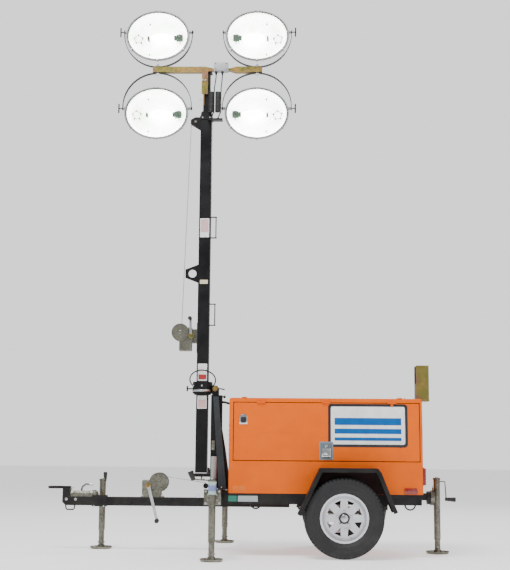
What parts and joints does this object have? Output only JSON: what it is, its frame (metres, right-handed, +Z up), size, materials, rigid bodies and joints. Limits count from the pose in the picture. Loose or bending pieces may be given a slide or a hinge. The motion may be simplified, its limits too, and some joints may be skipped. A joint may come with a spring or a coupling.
{
  "type": "mobile light tower",
  "caption": "Towable light tower: two-wheel trailer with canopy, outrigger jacks and a folding, turning telescopic mast that carries a crossarm of tilting flood lamps.",
  "frame": {"origin": "centre of the footprint on the ground", "axes": "+Z up, +X to the trailer's rear, -Y is the side that the picture shows"},
  "size_m": [3.74, 2.196, 5.139],
  "materials": {
    "canopy_orange": "glossy orange paint",
    "chassis_black": "semi-gloss black paint",
    "mast_black": "semi-gloss black paint",
    "tower_grey": "satin dark grey paint",
    "galvanised": "dull zinc plating",
    "yellow_zinc": "yellow passivated zinc",
    "rim_silver": "glossy silver paint",
    "tyre_rubber": "matt rubber",
    "cord_rubber": "satin rubber",
    "steel": "bright steel",
    "lamp_grey": "grey painted aluminium",
    "lamp_lens": "clear glass over a bright reflector",
    "red_lens": "clear red plastic",
    "box_grey": "light grey moulding",
    "engine_grey": "plain casting"
  },
  "bodies": {
    "base": {"frame": "chassis_black", "drawbar": "chassis_black", "hitch_eye": "chassis_black", "ball_coupler": "galvanised", "tongue_jack_clamp": "chassis_black", "outrigger_housing": "chassis_black", "tower": "tower_grey", "canopy": "canopy_orange", "engine": "engine_grey", "fender_near": "chassis_black", "fender_far": "chassis_black", "axle": "chassis_black", "spring_near": "galvanised", "spring_far": "galvanised", "mast_rest": "yellow_zinc", "tail_lamp_near": "red_lens", "tail_lamp_far": "red_lens", "rear_jack_stub": "chassis_black", "tilt_winch": "galvanised", "tilt_winch_crank": "steel", "tilt_cable": "steel"},
    "door_near": {"door_near": "canopy_orange"},
    "door_far": {"door_far": "canopy_orange"},
    "wheel_near": {"tyre_near": "tyre_rubber", "rim_near": "rim_silver"},
    "wheel_far": {"tyre_far": "tyre_rubber", "rim_far": "rim_silver"},
    "outrigger_near": {"outrigger_beam_near": "chassis_black"},
    "outrigger_far": {"outrigger_beam_far": "chassis_black"},
    "side_jack_near": {"side_jack_near": "galvanised", "side_jack_leg_near": "galvanised"},
    "side_jack_far": {"side_jack_far": "galvanised", "side_jack_leg_far": "galvanised"},
    "tongue_jack": {"tongue_jack": "galvanised", "tongue_jack_leg": "galvanised"},
    "rear_jack": {"rear_jack": "galvanised", "rear_jack_leg": "galvanised"},
    "carrier": {"collar": "mast_black"},
    "mast": {"mast_outer": "mast_black", "mast_winch": "galvanised", "mast_winch_crank": "steel", "hoist_wire": "steel"},
    "mast_mid": {"mast_mid": "mast_black"},
    "mast_head": {"mast_inner": "mast_black", "crossarm": "yellow_zinc", "junction_box": "box_grey", "coil_cord_a": "cord_rubber", "coil_cord_b": "cord_rubber"},
    "yoke_top_left": {"yoke_top_left": "mast_black"},
    "lamp_top_left": {"lamp_top_left": "lamp_grey", "lens_top_left": "lamp_lens"},
    "yoke_top_right": {"yoke_top_right": "mast_black"},
    "lamp_top_right": {"lamp_top_right": "lamp_grey", "lens_top_right": "lamp_lens"},
    "yoke_bottom_left": {"yoke_bottom_left": "mast_black"},
    "lamp_bottom_left": {"lamp_bottom_left": "lamp_grey", "lens_bottom_left": "lamp_lens"},
    "yoke_bottom_right": {"yoke_bottom_right": "mast_black"},
    "lamp_bottom_right": {"lamp_bottom_right": "lamp_grey", "lens_bottom_right": "lamp_lens"}
  },
  "joints": [
    {"name": "door_near_hinge", "type": "hinge", "parent": "base", "child": "door_near", "pos_m": [0.6745, -0.5376, 1.33], "axis": [-1, 0, 0], "range_deg": [0, 85]},
    {"name": "door_far_hinge", "type": "hinge", "parent": "base", "child": "door_far", "pos_m": [0.6745, 0.5376, 1.33], "axis": [1, 0, 0], "range_deg": [0, 85]},
    {"name": "wheel_near_spin", "type": "hinge", "parent": "base", "child": "wheel_near", "pos_m": [0.82, -0.68, 0.344], "axis": [0, 1, 0], "continuous": true},
    {"name": "wheel_far_spin", "type": "hinge", "parent": "base", "child": "wheel_far", "pos_m": [0.82, 0.68, 0.344], "axis": [0, 1, 0], "continuous": true},
    {"name": "outrigger_near_slide", "type": "slide", "parent": "base", "child": "outrigger_near", "axis": [0, 1, 0], "range_m": [0, 0.38]},
    {"name": "outrigger_far_slide", "type": "slide", "parent": "base", "child": "outrigger_far", "axis": [0, -1, 0], "range_m": [0, 0.38]},
    {"name": "side_jack_near_swivel", "type": "hinge", "parent": "outrigger_near", "child": "side_jack_near", "pos_m": [-0.29, -1, 0.5183], "axis": [0, 1, 0], "range_deg": [0, 90]},
    {"name": "side_jack_far_swivel", "type": "hinge", "parent": "outrigger_far", "child": "side_jack_far", "pos_m": [-0.29, 1, 0.5183], "axis": [0, 1, 0], "range_deg": [0, 90]},
    {"name": "tongue_jack_swivel", "type": "hinge", "parent": "base", "child": "tongue_jack", "pos_m": [-1.39, 0.15, 0.442], "axis": [0, 1, 0], "range_deg": [0, 90]},
    {"name": "rear_jack_swivel", "type": "hinge", "parent": "base", "child": "rear_jack", "pos_m": [1.7, 0, 0.497], "axis": [1, 0, 0], "range_deg": [0, 90]},
    {"name": "mast_tilt", "type": "hinge", "parent": "base", "child": "carrier", "pos_m": [-0.336, 0, 1.474], "axis": [0, 1, 0], "range_deg": [0, 90]},
    {"name": "mast_turn", "type": "hinge", "parent": "carrier", "child": "mast", "pos_m": [-0.458, 0, 1.474], "axis": [0, 0, 1], "range_deg": [-85, 270]},
    {"name": "mast_mid_slide", "type": "slide", "parent": "mast", "child": "mast_mid", "axis": [0, 0, 1], "range_m": [0, 2.5]},
    {"name": "mast_head_slide", "type": "slide", "parent": "mast_mid", "child": "mast_head", "axis": [0, 0, 1], "range_m": [0, 2.5]},
    {"name": "yoke_top_left_swivel", "type": "hinge", "parent": "mast_head", "child": "yoke_top_left", "pos_m": [-0.9415, 0, 4.564], "axis": [0, 0, 1], "range_deg": [-90, 90]},
    {"name": "lamp_top_left_tilt", "type": "hinge", "parent": "yoke_top_left", "child": "lamp_top_left", "pos_m": [-0.9415, 0, 4.949], "axis": [1, 0, 0], "range_deg": [-20, 90]},
    {"name": "yoke_top_right_swivel", "type": "hinge", "parent": "mast_head", "child": "yoke_top_right", "pos_m": [0.0255, 0, 4.564], "axis": [0, 0, 1], "range_deg": [-90, 90]},
    {"name": "lamp_top_right_tilt", "type": "hinge", "parent": "yoke_top_right", "child": "lamp_top_right", "pos_m": [0.0255, 0, 4.949], "axis": [1, 0, 0], "range_deg": [-20, 90]},
    {"name": "yoke_bottom_left_swivel", "type": "hinge", "parent": "mast_head", "child": "yoke_bottom_left", "pos_m": [-0.9415, 0, 4.564], "axis": [0, 0, 1], "range_deg": [-90, 90]},
    {"name": "lamp_bottom_left_tilt", "type": "hinge", "parent": "yoke_bottom_left", "child": "lamp_bottom_left", "pos_m": [-0.9415, 0, 4.179], "axis": [1, 0, 0], "range_deg": [-20, 90]},
    {"name": "yoke_bottom_right_swivel", "type": "hinge", "parent": "mast_head", "child": "yoke_bottom_right", "pos_m": [0.0255, 0, 4.564], "axis": [0, 0, 1], "range_deg": [-90, 90]},
    {"name": "lamp_bottom_right_tilt", "type": "hinge", "parent": "yoke_bottom_right", "child": "lamp_bottom_right", "pos_m": [0.0255, 0, 4.179], "axis": [1, 0, 0], "range_deg": [-20, 90]}
  ],
  "couplings": [
    {"joint": "mast_head_slide", "follows": "mast_mid_slide", "ratio": 1}
  ]
}
